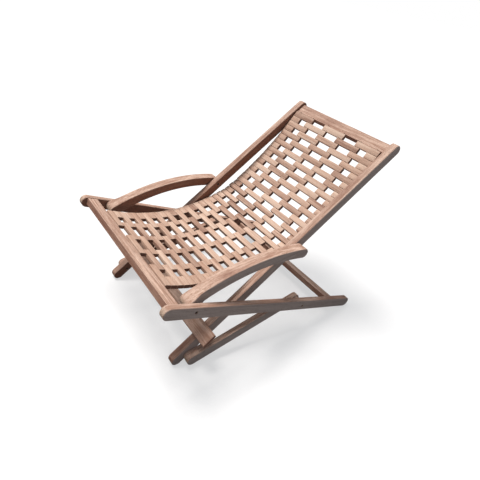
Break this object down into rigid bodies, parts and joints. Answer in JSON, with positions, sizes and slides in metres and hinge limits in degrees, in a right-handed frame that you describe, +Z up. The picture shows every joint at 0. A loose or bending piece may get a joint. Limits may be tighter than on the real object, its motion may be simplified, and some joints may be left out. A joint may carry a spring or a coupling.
{
  "type": "folding deck chair",
  "caption": "Low folding wooden deck chair with a sling of staggered slat blocks on cords, curved arms, and stiles, rails and tie bars pivoted so that it folds flat.",
  "frame": {"origin": "on the floor, under the middle of the open chair's length and width", "axes": "+X from the foot end towards the head end, +Y to the sitter's right, +Z up"},
  "size_m": [0.9396, 0.648, 0.6645],
  "materials": {
    "frame_wood": "oiled, sun-worn",
    "slat_wood": "oiled, sun-worn",
    "steel": "dull"
  },
  "bodies": {
    "back_frame": {"arm_pivot_bolt_left": "steel", "arm_pivot_bolt_right": "steel", "foot_board": "frame_wood", "foot_board_dowel_left_1": "slat_wood", "foot_board_dowel_left_2": "slat_wood", "foot_board_dowel_right_1": "slat_wood", "foot_board_dowel_right_2": "slat_wood", "foot_pivot_bolt_left": "steel", "foot_pivot_bolt_right": "steel", "head_board": "frame_wood", "head_board_dowel_left_1": "slat_wood", "head_board_dowel_left_2": "slat_wood", "head_board_dowel_right_1": "slat_wood", "head_board_dowel_right_2": "slat_wood", "stile_left": "frame_wood", "stile_right": "frame_wood", "slats_01_03": "slat_wood", "slats_04_06": "slat_wood", "slats_07_09": "slat_wood", "slats_10_12": "slat_wood", "slats_13_15": "slat_wood", "slats_16_17": "slat_wood"},
    "arms": {"arm_left": "frame_wood", "arm_right": "frame_wood"},
    "seat_frame": {"front_pivot_bolt_left": "steel", "front_pivot_bolt_right": "steel", "front_rail": "frame_wood", "front_rail_dowel_left_1": "slat_wood", "front_rail_dowel_left_2": "slat_wood", "front_rail_dowel_right_1": "slat_wood", "front_rail_dowel_right_2": "slat_wood", "pivot_spacer_left": "frame_wood", "pivot_spacer_right": "frame_wood", "rear_cross_rail": "frame_wood", "rear_pivot_bolt_left": "steel", "rear_pivot_bolt_right": "steel", "rear_rail_dowel_left_1": "slat_wood", "rear_rail_dowel_left_2": "slat_wood", "rear_rail_dowel_right_1": "slat_wood", "rear_rail_dowel_right_2": "slat_wood", "seat_rail_left": "frame_wood", "seat_rail_right": "frame_wood"},
    "tie_bars": {"tie_bar_left": "frame_wood", "tie_bar_right": "frame_wood"},
    "sling_crook_a": {"slats_18_19": "slat_wood"},
    "sling_crook_b": {"slats_20_21": "slat_wood"},
    "sling_crook_c": {"slats_22_23": "slat_wood"},
    "sling_seat_a": {"slats_24_26": "slat_wood", "slats_27_28": "slat_wood"},
    "sling_seat_b": {"slats_29_31": "slat_wood", "slats_32_33": "slat_wood"},
    "sling_seat_c": {"slats_34_36": "slat_wood", "slats_37_38": "slat_wood"},
    "sling_front": {"slats_39_41": "slat_wood", "slats_42_43": "slat_wood"}
  },
  "joints": [
    {"name": "fold", "type": "hinge", "parent": "back_frame", "child": "arms", "pos_m": [0.0594, 0, 0.346], "axis": [0, 1, 0], "range_deg": [0, 142]},
    {"name": "seat_fold", "type": "hinge", "parent": "arms", "child": "seat_frame", "pos_m": [-0.3666, 0, 0.296], "axis": [0, 1, 0], "range_deg": [-30.3, 0]},
    {"name": "tie_fold", "type": "hinge", "parent": "back_frame", "child": "tie_bars", "pos_m": [-0.3346, 0, 0.036], "axis": [0, 1, 0], "range_deg": [-23.6, 0]},
    {"name": "crook_a_fold", "type": "hinge", "parent": "back_frame", "child": "sling_crook_a", "pos_m": [0.14379, 0, 0.36354], "axis": [0, 1, 0], "range_deg": [0, 32.77]},
    {"name": "crook_b_fold", "type": "hinge", "parent": "sling_crook_a", "child": "sling_crook_b", "pos_m": [0.10727, 0, 0.33819], "axis": [0, 1, 0], "range_deg": [0, 32.77]},
    {"name": "crook_c_fold", "type": "hinge", "parent": "sling_crook_b", "child": "sling_crook_c", "pos_m": [0.06803, 0, 0.31828], "axis": [0, 1, 0], "range_deg": [0, 32.77]},
    {"name": "seat_a_fold", "type": "hinge", "parent": "sling_crook_c", "child": "sling_seat_a", "pos_m": [0.02612, 0, 0.30355], "axis": [0, 1, 0], "range_deg": [0, 32.77]},
    {"name": "seat_b_fold", "type": "hinge", "parent": "sling_seat_a", "child": "sling_seat_b", "pos_m": [-0.0828, 0, 0.28078], "axis": [0, 1, 0], "range_deg": [0, 7.94]},
    {"name": "seat_c_fold", "type": "hinge", "parent": "sling_seat_b", "child": "sling_seat_c", "pos_m": [-0.19405, 0, 0.27762], "axis": [0, 1, 0], "range_deg": [0, 7.94]},
    {"name": "front_fold", "type": "hinge", "parent": "sling_seat_c", "child": "sling_front", "pos_m": [-0.30411, 0, 0.29416], "axis": [0, 1, 0], "range_deg": [0, 7.94]}
  ],
  "couplings": [
    {"joint": "seat_fold", "follows": "fold", "ratio": -0.21268},
    {"joint": "tie_fold", "follows": "fold", "ratio": -0.16549},
    {"joint": "crook_a_fold", "follows": "fold", "ratio": 0.23007},
    {"joint": "crook_b_fold", "follows": "fold", "ratio": 0.23007},
    {"joint": "crook_c_fold", "follows": "fold", "ratio": 0.23007},
    {"joint": "seat_a_fold", "follows": "fold", "ratio": 0.23007},
    {"joint": "seat_b_fold", "follows": "fold", "ratio": 0.05521},
    {"joint": "seat_c_fold", "follows": "fold", "ratio": 0.05521},
    {"joint": "front_fold", "follows": "fold", "ratio": 0.05521}
  ]
}
